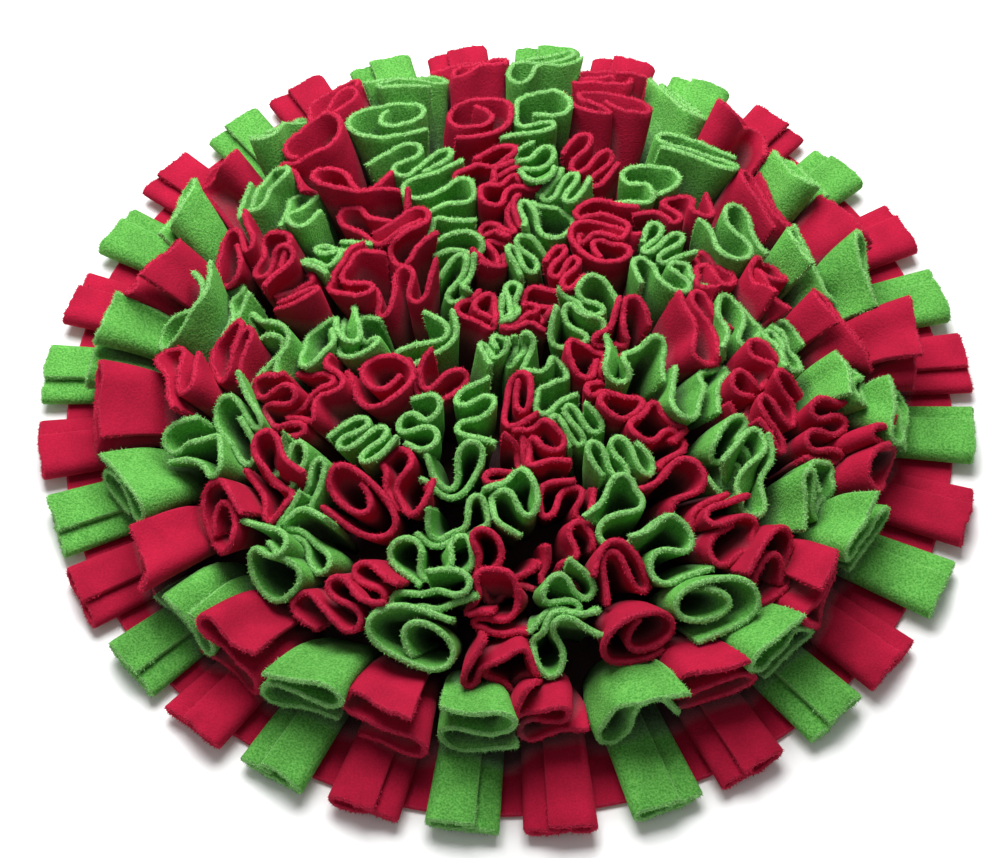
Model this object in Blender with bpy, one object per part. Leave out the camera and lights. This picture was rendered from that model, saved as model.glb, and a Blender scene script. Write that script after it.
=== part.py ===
"""Round snuffle mat: rows of folded fleece petals sewn on a round fleece base.

Frame: the origin is at the centre of the base's underside, +Z is up and the
side nearest the viewer is -Y.  Sizes below are in millimetres.

Every petal is one strip of fleece.  Seen from above its cloth follows a fold,
which FOLDS spells out as a maker would: so far straight, then a bend.  A row
is a circle of such petals, and ROWS lists them by angle, colour and fold.
Each petal keeps to its own cell between its neighbours, so that no two touch.
"""
import math
import random
from collections import namedtuple

import bmesh
import bpy
from mathutils import Vector

MM = 0.001
SEED = 32

# --- driving dimensions ------------------------------------------------------
BASE_DIAMETER = 425.0
BASE_THICKNESS = 3.0
BASE_SIDES = 72
BASE_WAVER = 0.9           # the hand-cut rim is out of round by this much
CLOTH = 2.6                # thickness of the fleece
AIR = 0.5                  # clear space kept round each petal
PETAL_LENGTH = 52.0        # from the seam to the free end

# The edge petals lie flat on the base, and their ends pass its rim.
EDGE_COUNT = 32
EDGE_FIRST_ANGLE = 265.0   # this petal is green, the next one red, and so on
EDGE_ROOT_RADIUS = 173.0
EDGE_TIP_RADIUS = 222.0
EDGE_ROOT_WIDTH = 28.0
EDGE_TIP_WIDTH = 33.0
EDGE_HEIGHT = 9.6
EDGE_YAW = 3.0             # degrees that a petal may point off its radius
EDGE_UNEVEN = 3.0          # how far the ends differ in reach

# The seams: petals of one colour in a row hang together by a narrow strip.
STRIP_WIDTH = 2.0
STRIP_HEIGHT = 2.2
STRIP_OFFSET = {"R": -7.5, "G": 8.0}   # red strips run inside the row's seam, green outside
LAYING_GAP = 0.3           # between the base and what lies on it
ROOT_LIFT = 0.5            # petals start this far up inside their strip

# Half the depth of a row's cells, seam and free end, to the middle of the cloth.
ROOT_HALF_DEPTH = 5.2
TIP_HALF_DEPTH = 8.6
ROOT_WIDTH_SHARE = 0.86    # a root fills less of its cell than the open end does
COLOUR_SHIFT = 1.8         # red roots sit this far in from the seam, green ones out
LENGTH_SPREAD = 0.10       # the shortest petal is this share shorter
RIM_SLANT = 0.05           # a free end rises or falls by this share across it
LEAN_FALLS_FROM = 0.2      # sine of the angle round the mat from which the lean falls
WIDE_CELL = 0.6            # radians: a cell with a wider half bends its petal round the centre

# --- how the cloth is folded --------------------------------------------------
# run: straight length in mm; bend: degrees, left is positive; radius in mm.
Fold = namedtuple("Fold", "run bend radius")
FOLDS = {
    "cup": (Fold(3, 175, 9.0), Fold(8, 155, 8.0), Fold(4, 0, 0)),
    "roll": (Fold(4, 180, 9.0), Fold(6, 180, 5.8), Fold(4, 140, 2.8), Fold(3, 0, 0)),
    "ess": (Fold(17, 180, 4.4), Fold(15, -180, 4.4), Fold(17, 0, 0)),
    "zigzag": (Fold(10, 180, 2.8), Fold(11, -180, 2.8), Fold(11, 180, 2.8),
               Fold(11, -180, 2.8), Fold(10, 0, 0)),
    "heart": (Fold(4, -205, 4.6), Fold(6, 120, 3.0), Fold(6, -205, 4.6), Fold(4, 0, 0)),
    "wave": (Fold(9, -135, 4.4), Fold(8, 140, 4.4), Fold(9, -90, 4.4), Fold(5, 0, 0)),
    "flap": (Fold(16, 170, 3.4), Fold(20, 40, 12.0), Fold(3, 0, 0)),
    "hook": (Fold(12, 70, 9.0), Fold(6, 185, 4.4), Fold(5, 0, 0)),
    "leaf": (Fold(12, 30, 16.0), Fold(5, 150, 3.6), Fold(18, 0, 0)),
    "pleat": (Fold(15, 180, 3.5), Fold(24, 180, 1.6), Fold(12, 0, 0)),
}
# How a fold may be turned in its cell; 0 has its first run along the row.
TURNS = {"zigzag": (90, 90, 78, 102), "roll": (0, 180), "wave": (0, 180)}
ANY_TURN = (0, 0, 180, 180, -20, 20, 90)
WIDEST_CHORD = 95.0        # degrees of bend that one straight facet may stand for
TIGHT_RADIUS = 4.5         # a hairpin tighter than this is one facet
SHARPEST_MITRE = 0.76      # keeps the corners of a hairpin from reaching out of the cell

# --- the rows of standing petals ---------------------------------------------
# seam: radius of the seam; lean: degrees outward from upright, in front and at the
# sides; behind: the same for the hindmost petals; petals: angle:colour:fold,
# counter-clockwise from +X.
Row = namedtuple("Row", "name seam lean behind petals")
ROWS = (
    Row("row_1", 149.0, 51.0, 46.0,
        "354:G:flap 5:R:flap 17:G:leaf 28:R:flap 40:G:flap 51:R:hook 62:G:leaf 73:R:cup "
        "85:G:leaf 96:R:cup 107:G:leaf 118:R:cup 129:G:leaf 140:R:hook 151:G:leaf "
        "162:R:flap 173:G:wave 185:R:flap 197:G:leaf 208:R:flap 219:G:wave 231:R:flap "
        "243:G:flap 254:R:flap 265:G:ess 276:R:wave 287:G:hook 298:R:flap 309:G:flap "
        "320:R:leaf 332:G:flap 343:R:cup"),
    Row("row_2", 129.5, 36.0, 27.0,
        "6:R:leaf 22:G:leaf 37:R:ess 55:G:ess 71:R:cup 84:G:cup 98:R:roll 112:G:roll "
        "127:R:cup 141:G:leaf 155:R:cup 171:G:hook 186:R:leaf 199:G:leaf 212:R:roll "
        "226:G:cup 241:R:wave 256:G:roll 269:R:cup 280:G:hook 291:R:roll 303:G:roll "
        "317:R:roll 332:G:cup 345:R:zigzag 356:G:leaf"),
    Row("row_3", 110.0, 29.0, 8.5,
        "3:G:wave 17:R:hook 31:G:ess 44:R:wave 56:G:cup 68:R:zigzag 83:G:wave 98:R:leaf "
        "112:G:wave 126:R:hook 140:G:leaf 154:R:cup 167:G:hook 180:R:cup 197:G:cup "
        "214:R:flap 229:G:hook 242:R:wave 255:G:leaf 268:R:cup 281:G:wave 292:R:hook "
        "303:G:ess 315:R:cup 329:G:leaf 347:R:zigzag"),
    Row("row_4", 90.5, 23.0, 6.5,
        "10:G:ess 26:R:wave 40:G:zigzag 56:R:flap 73:G:zigzag 90:R:leaf 109:G:ess "
        "127:R:hook 144:G:zigzag 160:R:heart 177:G:hook 196:R:zigzag 214:G:zigzag "
        "232:R:roll 249:G:heart 267:R:hook 284:R:flap 301:G:ess 316:R:ess 331:G:leaf "
        "350:R:zigzag"),
    Row("row_5", 71.0, 18.0, 5.0,
        "11:R:leaf 30:G:wave 50:R:roll 73:G:cup 93:R:heart 112:G:ess 130:R:flap 149:R:hook "
        "171:G:cup 196:R:hook 216:G:zigzag 235:R:leaf 254:G:hook 271:G:leaf 289:R:heart "
        "308:G:zigzag 327:R:cup 348:G:flap"),
    Row("row_6", 51.5, 13.0, 3.5,
        "354:G:flap 15:R:leaf 36:G:ess 58:R:zigzag 80:G:wave 102:R:hook 124:G:leaf "
        "147:R:wave 171:G:hook 198:R:roll 222:G:wave 246:G:hook 268:R:hook 289:R:ess "
        "310:G:zigzag 332:R:cup"),
    Row("row_7", 31.5, 7.0, 2.0,
        "350:R:cup 26:G:ess 62:R:ess 98:G:hook 134:R:roll 170:G:hook 206:R:hook "
        "242:G:wave 278:R:roll 314:G:flap"),
    Row("row_8", 12.0, 3.0, 1.0,
        "75:R:leaf 185:G:cup 315:G:flap"),
)
COLOURS = {"R": "red", "G": "green"}

# --- cloth -------------------------------------------------------------------
def trace_fold(folds):
    """Middle line of the folded cloth, in mm, as (x, y) points."""
    x = y = heading = 0.0
    points = [(x, y)]
    for fold in folds:
        x += fold.run * math.cos(heading)
        y += fold.run * math.sin(heading)
        points.append((x, y))
        if not fold.bend:
            continue
        facets = 1
        if fold.radius >= TIGHT_RADIUS or abs(fold.bend) > 185:
            facets = math.ceil(abs(fold.bend) / WIDEST_CHORD)
        step = math.radians(fold.bend) / facets
        chord = 2 * fold.radius * math.sin(abs(step) / 2)
        for _ in range(facets):
            heading += step / 2
            x += chord * math.cos(heading)
            y += chord * math.sin(heading)
            heading += step / 2
            points.append((x, y))
    return points


def fit_to_cell(points, turn, mirrored):
    """Turn a fold by degrees and scale it to run from -1 to 1 both ways."""
    cos_turn = math.cos(math.radians(turn))
    sin_turn = math.sin(math.radians(turn))
    side = -1 if mirrored else 1
    turned = [(side * (x * cos_turn - y * sin_turn), x * sin_turn + y * cos_turn)
              for x, y in points]
    fitted = []
    for axis in (0, 1):
        low = min(point[axis] for point in turned)
        high = max(point[axis] for point in turned)
        fitted.append([2 * (point[axis] - low) / (high - low) - 1 for point in turned])
    return list(zip(*fitted))


def thicken(line):
    """Outline of cloth along a middle line: its left side out, its right side back."""
    left, right = [], []
    for index, point in enumerate(line):
        before = Vector(point) - Vector(line[max(index - 1, 0)])
        after = Vector(line[min(index + 1, len(line) - 1)]) - Vector(point)
        before = before.normalized() if index else after.normalized()
        after = after.normalized() if index < len(line) - 1 else before
        mean = (before + after).normalized()
        reach = CLOTH / 2 / max(mean.dot(before), SHARPEST_MITRE)
        normal = Vector((-mean.y, mean.x)) * reach
        left.append(Vector(point) + normal)
        right.append(Vector(point) - normal)
    return left + right[::-1]


def add_loft(mesh, sections):
    """Closed skin through sections of equal point count."""
    rings = [[mesh.verts.new(point * MM) for point in section] for section in sections]
    count = len(rings[0])
    for lower, upper in zip(rings, rings[1:]):
        for index in range(count):
            following = (index + 1) % count
            mesh.faces.new((lower[index], lower[following], upper[following], upper[index]))
    half = count // 2
    for ring in (rings[0], rings[-1]):
        for index in range(half - 1):
            mesh.faces.new((ring[index], ring[index + 1],
                            ring[count - 2 - index], ring[count - 1 - index]))


def turn_about_z(point, angle):
    """The point carried round the mat by an angle in radians."""
    return Vector((point.x * math.cos(angle) - point.y * math.sin(angle),
                   point.x * math.sin(angle) + point.y * math.cos(angle), point.z))


# --- standing rows -----------------------------------------------------------
Cell = namedtuple("Cell", "middle half_angle colour fold")


def lean_at(row, angle):
    """Outward lean of a row's petal in radians; those behind stand more upright."""
    rise = (math.sin(angle) - LEAN_FALLS_FROM) / (1 - LEAN_FALLS_FROM)
    rise = min(max(rise, 0.0), 1.0)
    share = rise ** 2 * (3 - 2 * rise)
    return math.radians(row.lean + (row.behind - row.lean) * share)


def petal_section(row, cell, line, share, lengths):
    """One section of a petal at a share of its length, with +X outward through its cell."""
    root_shift = COLOUR_SHIFT if cell.colour == "G" else -COLOUR_SHIFT
    half_depth = ROOT_HALF_DEPTH + (TIP_HALF_DEPTH - ROOT_HALF_DEPTH) * share
    width_share = ROOT_WIDTH_SHARE + (1 - ROOT_WIDTH_SHARE) * share
    lean = lean_at(row, cell.middle)
    tilt = lean * share
    reaches = [share * length * PETAL_LENGTH for length in lengths]
    radii = [row.seam + reach * math.sin(lean) for reach in reaches]
    flat = []
    for (across, deep), radius in zip(line, radii):
        depth = deep * half_depth + root_shift * (1 - share)
        half_width = (radius + depth * math.cos(tilt)) * math.sin(cell.half_angle) - CLOTH / 2 - AIR
        flat.append((across * half_width * width_share, depth))
    section = []
    for index, (across, depth) in enumerate(thicken(flat)):
        place = min(index, 2 * len(line) - 1 - index)
        radius = radii[place] + depth * math.cos(tilt)
        if cell.half_angle > WIDE_CELL:
            radius = math.sqrt(max(radius ** 2 - across ** 2, 0))
        height = BASE_THICKNESS + LAYING_GAP + ROOT_LIFT + reaches[place] * math.cos(lean)
        section.append(Vector((radius, across, height - depth * math.sin(tilt))))
    return section


def row_cells(row):
    """The cells of a row, each reaching halfway to its neighbours, in radians."""
    petals = [token.split(":") for token in row.petals.split()]
    petals = sorted((float(angle), colour, fold) for angle, colour, fold in petals)
    angles = [petal[0] for petal in petals]
    befores = [angles[-1] - 360] + angles[:-1]
    afters = angles[1:] + [angles[0] + 360]
    cells = []
    for (angle, colour, fold), before, after in zip(petals, befores, afters):
        low = math.radians(before + angle) / 2
        high = math.radians(angle + after) / 2
        cells.append(Cell((low + high) / 2, (high - low) / 2, colour, fold))
    return cells


def petal_chance(number, index):
    """The chance that sets one petal's turn and length, the same each run."""
    return random.Random(SEED + 100 * number + index)


def add_petal(mesh, row, cell, chance):
    """A standing petal of one row, turned to its place round the mat."""
    turn = chance.choice(TURNS.get(cell.fold, ANY_TURN))
    line = fit_to_cell(trace_fold(FOLDS[cell.fold]), turn, chance.random() < 0.5)
    length = 1 - LENGTH_SPREAD * chance.random()
    slant = chance.uniform(-RIM_SLANT, RIM_SLANT)
    lengths = [length * (1 + slant * across) for across, _ in line]
    sections = []
    for share in (0, 1):
        section = petal_section(row, cell, line, share, lengths)
        sections.append([turn_about_z(point, cell.middle) for point in section])
    add_loft(mesh, sections)


def add_strip(mesh, row, colour, cells):
    """The narrow round strip that carries the petals of one colour in a row."""
    low = BASE_THICKNESS + LAYING_GAP
    corners = ((-STRIP_WIDTH / 2, low), (STRIP_WIDTH / 2, low), (0, low + STRIP_HEIGHT))
    loops = []
    for cell, following in zip(cells, cells[1:] + cells[:1]):
        stretch = 1 / math.cos((cell.half_angle + following.half_angle) / 2)
        loop = []
        for out, height in corners:
            radius = (row.seam + STRIP_OFFSET[colour] + out) * stretch
            point = turn_about_z(Vector((radius, 0, height)), cell.middle + cell.half_angle)
            loop.append(mesh.verts.new(point * MM))
        loops.append(loop)
    for loop, following in zip(loops, loops[1:] + loops[:1]):
        for corner in range(len(corners)):
            beside = (corner + 1) % len(corners)
            mesh.faces.new((loop[corner], loop[beside], following[beside], following[corner]))


def build_row(number, row, colour):
    """One node: the petals of one colour in a row, fused to their strip."""
    cells = row_cells(row)
    strip_mesh = bmesh.new()
    petal_mesh = bmesh.new()
    add_strip(strip_mesh, row, colour, cells)
    for index, cell in enumerate(cells):
        if cell.colour == colour:
            add_petal(petal_mesh, row, cell, petal_chance(number, index))
    name = f"{row.name}_{COLOURS[colour]}"
    strip = make_object(name, strip_mesh, colour)
    petals = make_object(f"{name}_petals", petal_mesh, colour)
    petals.hide_render = True
    petals.display_type = "WIRE"
    fuse = strip.modifiers.new("sewn together", "BOOLEAN")
    fuse.operation = "UNION"
    fuse.object = petals


def build_centre(number, row):
    """The petals in the middle of the mat, too close for strips: a node each."""
    for index, cell in enumerate(row_cells(row)):
        mesh = bmesh.new()
        add_petal(mesh, row, cell, petal_chance(number, index))
        make_object(f"centre_petal_{index + 1}_{COLOURS[cell.colour]}", mesh, cell.colour)


# --- edge petals and base ----------------------------------------------------
def build_edge_petal(index):
    """One flat folded petal at the rim, a node of its own."""
    chance = random.Random(SEED * 1000 + index)
    colour = "G" if index % 2 == 0 else "R"
    angle = math.radians(EDGE_FIRST_ANGLE + 360.0 * index / EDGE_COUNT)
    yaw = math.radians(chance.uniform(-EDGE_YAW, EDGE_YAW))
    mirrored = chance.random() < 0.3
    reach = EDGE_TIP_RADIUS + chance.uniform(-EDGE_UNEVEN, 0)
    line = fit_to_cell(trace_fold(FOLDS["pleat"]), 180, mirrored)
    half_height = (EDGE_HEIGHT - CLOTH) / 2
    lowest = BASE_THICKNESS + LAYING_GAP
    sections = []
    for radius, width in ((EDGE_ROOT_RADIUS, EDGE_ROOT_WIDTH), (reach, EDGE_TIP_WIDTH)):
        flat = [(across * (width - CLOTH) / 2, up * half_height) for across, up in line]
        along = radius - EDGE_ROOT_RADIUS
        section = []
        for across, up in thicken(flat):
            section.append((EDGE_ROOT_RADIUS + along * math.cos(yaw) - across * math.sin(yaw),
                            along * math.sin(yaw) + across * math.cos(yaw),
                            lowest + EDGE_HEIGHT / 2 + up))
        sections.append([turn_about_z(Vector(point), angle) for point in section])
    mesh = bmesh.new()
    add_loft(mesh, sections)
    make_object(f"edge_petal_{index + 1:02d}_{COLOURS[colour]}", mesh, colour)


def build_base():
    """The round base cloth under everything."""
    chance = random.Random(SEED)
    phases = [chance.uniform(0, 2 * math.pi) for _ in range(3)]
    mesh = bmesh.new()
    lower, upper = [], []
    for side in range(BASE_SIDES):
        angle = 2 * math.pi * side / BASE_SIDES
        waver = sum(math.sin((3 + 4 * k) * angle + phase) for k, phase in enumerate(phases)) / 3
        radius = BASE_DIAMETER / 2 + BASE_WAVER * waver
        spot = Vector((radius * math.cos(angle), radius * math.sin(angle), 0))
        lower.append(mesh.verts.new(spot * MM))
        upper.append(mesh.verts.new((spot + Vector((0, 0, BASE_THICKNESS))) * MM))
    mesh.faces.new(lower[::-1])
    mesh.faces.new(upper)
    for side in range(BASE_SIDES):
        following = (side + 1) % BASE_SIDES
        mesh.faces.new((lower[side], lower[following], upper[following], upper[side]))
    make_object("base_cloth", mesh, "R")


# --- objects and materials ---------------------------------------------------
def fleece(colour):
    """Matt brushed polyester fleece, crimson or leaf green."""
    name = f"{COLOURS[colour]}_fleece"
    if name in bpy.data.materials:
        return bpy.data.materials[name]
    material = bpy.data.materials.new(name)
    material.use_nodes = True
    shader = material.node_tree.nodes["Principled BSDF"]
    paint = {"R": (0.48, 0.012, 0.035, 1.0), "G": (0.085, 0.36, 0.045, 1.0)}[colour]
    shader.inputs["Base Color"].default_value = paint
    shader.inputs["Roughness"].default_value = 0.95
    shader.inputs["Metallic"].default_value = 0.0
    material.diffuse_color = paint
    return material


def make_object(name, mesh, colour):
    """Finish a bmesh as a named object in the scene."""
    bmesh.ops.recalc_face_normals(mesh, faces=mesh.faces)
    data = bpy.data.meshes.new(name)
    mesh.to_mesh(data)
    mesh.free()
    data.materials.append(fleece(colour))
    thing = bpy.data.objects.new(name, data)
    bpy.context.scene.collection.objects.link(thing)
    return thing


def main():
    """Clear the scene and build the mat."""
    for thing in list(bpy.data.objects):
        bpy.data.objects.remove(thing, do_unlink=True)
    build_base()
    for index in range(EDGE_COUNT):
        build_edge_petal(index)
    for number, row in enumerate(ROWS[:-1]):
        for colour in COLOURS:
            build_row(number, row, colour)
    build_centre(len(ROWS) - 1, ROWS[-1])


main()
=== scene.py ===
"""Looks of the round snuffle mat: folded fleece petals sewn in rings on a fleece base.

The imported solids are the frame.  Each of them is replaced by cloth of its own
form: the same folds with round bends, cut edges and a nap.  Sizes are in
millimetres until a mesh is made.
"""
import math
import random
from collections import namedtuple

import bpy
import numpy as np
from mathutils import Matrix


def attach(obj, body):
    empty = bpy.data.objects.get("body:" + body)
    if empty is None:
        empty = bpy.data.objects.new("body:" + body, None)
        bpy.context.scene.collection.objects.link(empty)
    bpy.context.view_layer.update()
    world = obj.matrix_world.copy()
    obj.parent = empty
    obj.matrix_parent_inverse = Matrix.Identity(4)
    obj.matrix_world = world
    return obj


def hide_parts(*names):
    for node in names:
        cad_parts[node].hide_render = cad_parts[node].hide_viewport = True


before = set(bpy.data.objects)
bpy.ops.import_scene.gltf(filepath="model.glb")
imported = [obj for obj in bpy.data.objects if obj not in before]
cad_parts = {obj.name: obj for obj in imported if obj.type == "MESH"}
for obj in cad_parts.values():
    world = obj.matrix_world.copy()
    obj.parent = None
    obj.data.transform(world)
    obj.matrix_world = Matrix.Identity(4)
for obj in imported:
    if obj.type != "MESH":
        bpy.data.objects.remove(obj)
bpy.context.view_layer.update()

bl_info = {
    "name": "Snuffle Mat Looks",
    "version": (1, 0, 0),
    "blender": (4, 5, 0),
    "location": "3D View > Sidebar > Snuffle Mat",
    "description": "Dresses the frame of a round snuffle mat in fleece",
    "category": "Object",
}

MM = 0.001

# --- the mat's own sizes: millimetres, and degrees for angles ---
SEED = 32
BASE_DIAMETER = 425.0
BASE_THICKNESS = 3.0
BASE_WAVER = 0.9           # how far its cut rim wanders
BASE_TRIM = 0.3            # and how far that lies inside the full size
BASE_LIFT = 0.12           # height of the slight waves in its upper side
PETAL_LENGTH = 52.0        # from the seam to the free end
EDGE_COUNT = 32            # flat petals at the rim
EDGE_FIRST_ANGLE = 265.0   # this petal is green, the next one red, and so on
EDGE_ROOT_RADIUS = 168.0
EDGE_TIP_RADIUS = 222.0
EDGE_ROOT_WIDTH = 28.0
EDGE_TIP_WIDTH = 34.0
EDGE_HEIGHT = 9.6          # of its three layers
EDGE_YAW = 3.0             # how far a rim petal may point aside
EDGE_UNEVEN = 3.0          # how much shorter it may be
EDGE_MIRRORED = 0.3        # share of them that are folded the other way
EDGE_CUT = 0.7             # how far their free ends wander
EDGE_WAVE = 0.5            # and their folds
LAYING_GAP = 0.3           # between the base and what lies on it
ROOT_LIFT = 0.5            # more room under a standing petal
ROOT_HALF_DEPTH = 5.2      # half the depth of its gathered root
ROOT_WIDTH_SHARE = 0.86    # share of a cell's width that the root takes
CELL_GAP = 0.2             # left free at each side of a cell
COLOUR_SHIFT = 1.8         # green roots stand this far out of their row, red ones in
TIP_FILL = 1.2             # share of the room between two rows that open ends take
MOST_HALF_DEPTH = 13.0
MIDDLE_SHARE = 0.6         # share of the way to the mat's middle that they take at most
LENGTH_SPREAD = 0.10       # share by which a standing petal may be shorter
RIM_SLANT = 0.11           # share of its length by which its free end may slant
LEAN_FALLS_FROM = 0.2      # sine of the angle round the mat from which the lean falls
CURL_BEHIND = -12.0        # how much further the hindmost free ends lean than their roots
WIDE_CELL = 0.6            # radians; a wider cell's petal bends round the middle
NEAR_MIDDLE = 0.5          # and comes no nearer to it than this

# run: straight length; bend: left is positive; radius: of the bend.
Fold = namedtuple("Fold", "run bend radius")
FOLDS = {
    "cup": (Fold(2, 180, 9.0), Fold(6, 160, 8.0), Fold(9, -160, 2.8), Fold(16, 0, 0)),
    "roll": (Fold(8, 180, 9.0), Fold(6, 180, 5.8), Fold(5, 140, 2.8), Fold(5, 0, 0)),
    "ess": (Fold(19, 180, 3.9), Fold(17, -180, 3.9), Fold(19, 0, 0)),
    "zigzag": (Fold(10, 180, 2.8), Fold(11, -180, 2.8), Fold(11, 180, 2.8),
               Fold(11, -180, 2.8), Fold(10, 0, 0)),
    "heart": (Fold(9, -205, 4.6), Fold(9, 130, 3.0), Fold(9, -205, 4.6), Fold(9, 0, 0)),
    "wave": (Fold(12, -150, 4.2), Fold(10, 165, 4.2), Fold(12, -150, 4.0), Fold(10, 0, 0)),
    "flap": (Fold(18, 172, 3.2), Fold(22, -165, 3.0), Fold(17, 0, 0)),
    "hook": (Fold(14, 60, 9.0), Fold(8, 188, 4.2), Fold(13, -115, 3.6), Fold(10, 0, 0)),
    "leaf": (Fold(13, -168, 2.6), Fold(23, 190, 4.2), Fold(26, 0, 0)),
    "pleat": (Fold(15, 180, 3.5), Fold(24, 180, 1.6), Fold(12, 0, 0)),
}
# How a fold may be turned in its cell; 0 has its first run along the row.
TURNS = {"zigzag": (90, 90, 78, 102), "roll": (0, 180), "wave": (0, 180)}
ANY_TURN = (0, 0, 180, 180, -20, 20, 90)

# seam: radius of the seam; lean: outward from upright; behind: the same for the
# hindmost petals; curl: how much further the free end leans than the root; petals:
# angle:colour:fold.
Row = namedtuple("Row", "name seam lean behind curl petals")
ROWS = (
    Row("row_1", 149.0, 55.0, 46.0, 54.0,
        "354:G:flap 5:R:flap 17:G:leaf 28:R:flap 40:G:flap 51:R:hook 62:G:leaf 73:R:cup "
        "85:G:leaf 96:R:cup 107:G:leaf 118:R:cup 129:G:leaf 140:R:hook 151:G:leaf "
        "162:R:flap 173:G:wave 185:R:flap 197:G:leaf 208:R:flap 219:G:wave 231:R:flap "
        "243:G:flap 254:R:flap 265:G:ess 276:R:wave 287:G:hook 298:R:flap 309:G:flap "
        "320:R:leaf 332:G:flap 343:R:cup"),
    Row("row_2", 129.5, 36.0, 27.0, 30.0,
        "6:R:leaf 22:G:leaf 37:R:ess 55:G:ess 71:R:cup 84:G:cup 98:R:roll 112:G:roll "
        "127:R:cup 141:G:leaf 155:R:cup 171:G:hook 186:R:leaf 199:G:leaf 212:R:roll "
        "226:G:cup 241:R:wave 256:G:roll 269:R:cup 280:G:hook 291:R:roll 303:G:roll "
        "317:R:roll 332:G:cup 345:R:zigzag 356:G:leaf"),
    Row("row_3", 110.0, 29.0, 8.5, 22.0,
        "3:G:wave 17:R:hook 31:G:ess 44:R:wave 56:G:cup 68:R:zigzag 83:G:wave 98:R:leaf "
        "112:G:wave 126:R:hook 140:G:leaf 154:R:cup 167:G:hook 180:R:cup 197:G:cup "
        "214:R:flap 229:G:hook 242:R:wave 255:G:leaf 268:R:cup 281:G:wave 292:R:hook "
        "303:G:ess 315:R:cup 329:G:leaf 347:R:zigzag"),
    Row("row_4", 90.5, 23.0, 6.5, 18.0,
        "10:G:ess 26:R:wave 40:G:zigzag 56:R:flap 73:G:zigzag 90:R:leaf 109:G:ess "
        "127:R:hook 144:G:zigzag 160:R:heart 177:G:hook 196:R:zigzag 214:G:zigzag "
        "232:R:roll 249:G:heart 267:R:hook 284:R:flap 301:G:ess 316:R:ess 331:G:leaf "
        "350:R:zigzag"),
    Row("row_5", 71.0, 18.0, 5.0, 14.0,
        "11:R:leaf 30:G:wave 50:R:roll 73:G:cup 93:R:heart 112:G:ess 130:R:flap 149:R:hook "
        "171:G:cup 196:R:hook 216:G:zigzag 235:R:leaf 254:G:hook 271:G:leaf 289:R:heart "
        "308:G:zigzag 327:R:cup 348:G:flap"),
    Row("row_6", 51.5, 13.0, 3.5, 12.0,
        "354:G:flap 15:R:leaf 36:G:ess 58:R:zigzag 80:G:wave 102:R:hook 124:G:leaf "
        "147:R:wave 171:G:hook 198:R:roll 222:G:wave 246:G:hook 268:R:hook 289:R:ess "
        "310:G:zigzag 332:R:cup"),
    Row("row_7", 31.5, 7.0, 2.0, 8.0,
        "350:R:cup 26:G:ess 62:R:ess 98:G:hook 134:R:roll 170:G:hook 206:R:hook "
        "242:G:wave 278:R:roll 314:G:flap"),
    Row("row_8", 12.0, 3.0, 1.0, 4.0,
        "75:R:leaf 185:G:cup 315:G:flap"),
)
COLOURS = {"R": "red", "G": "green"}

LEAST_CURL = 0.5           # less is as good as straight
CURL_SPREAD = 8.0          # how much more or less single free ends curl,
NOD_SPREAD = 9.0           # nod up or down,
LEAN_SPREAD = 9.0          # and single petals lean
SWING = 11.0               # how far the free end of a flat petal lies to one side
DRIFT = 4.0                # how far whole groups of free ends lie to one side
DRIFT_LENGTH = 120.0       # across such a group
DRIFT_RISE = 1.5           # power of the height with which they lean over
RIM_TONES = (0.92, 1.05)   # a petal's own tone, darker or lighter than its colour
ROW_TONES = (0.9, 1.06)

# --- how fine the cloth is modelled ---
BASE_SPOKES = 192
BASE_CIRCLES = 40
BASE_INNER = 0.02          # share of its radius that one face covers in the middle
COLUMNS = 50               # points along a standing petal's fold
RIM_COLUMNS = 44           # and along a rim petal's
WAVES = 3                  # in the wandering of a fold or a cut
WAVE_SPREAD = (0.7, 1.3)   # share of its full length that a wave may have
HEIGHT_STEPS = 14          # from the root of a petal to its free end
SHOWN_STEPS = (0, 3, 6, 8, 9, 10, 11, 12, 13, 14)   # those that the mesh keeps
RIM_HEIGHT_STEPS = 6
ARC_STEP = 12.0            # degrees between points of a bend, before they are evened out
SOFTENING = 2              # smoothing passes that round a tight bend
LEAST_WIDTH = 88.0         # mm of cloth in a standing petal, along its fold
MOST_WIDTH = 140.0
CLOTH_IN_CELL = 0.16       # mm of cloth, along its fold, that a mm2 of open cell can hold
SPARE_WIDTH = 1.5          # how much more cloth a petal has than its fold is drawn with
# A cut edge is round: shares of half the thickness, out and sideways.
CUT = ((0.85, 0.0), (0.66, 0.58), (0.30, 0.92))
CUT_BORDER = 0.6           # mark of the borders of a cut edge; its crest has 1, so the painted highlight is brightest there
RAGGED = 0.4               # mm that a cut edge stands proud or back
BULGING = 0.12             # share by which it is thicker or thinner

COVER_CELL = 4.0           # mm, side of the cells in which the cloth is weighed
COVER_SPREAD = 2           # times that a cell is averaged with its neighbours
COVER_MARGIN = 24.0        # mm of cells beyond the base and above a petal's length

NAP_DEPTH = 12.0           # mm below the free end down to which the cut edges show fuzz
TUFT_LEAN = 40.0           # degrees that a tuft may lean
LEAST_TUFT = 0.45          # share of the full size that the smallest tuft has
MOST_TUFT = 1.25           # and the largest
TUFT_PAINTED_HIGHLIGHT = 1.5            # painted highlight: how much lighter the tufts are painted than the cloth, for fibres that catch the light
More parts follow.
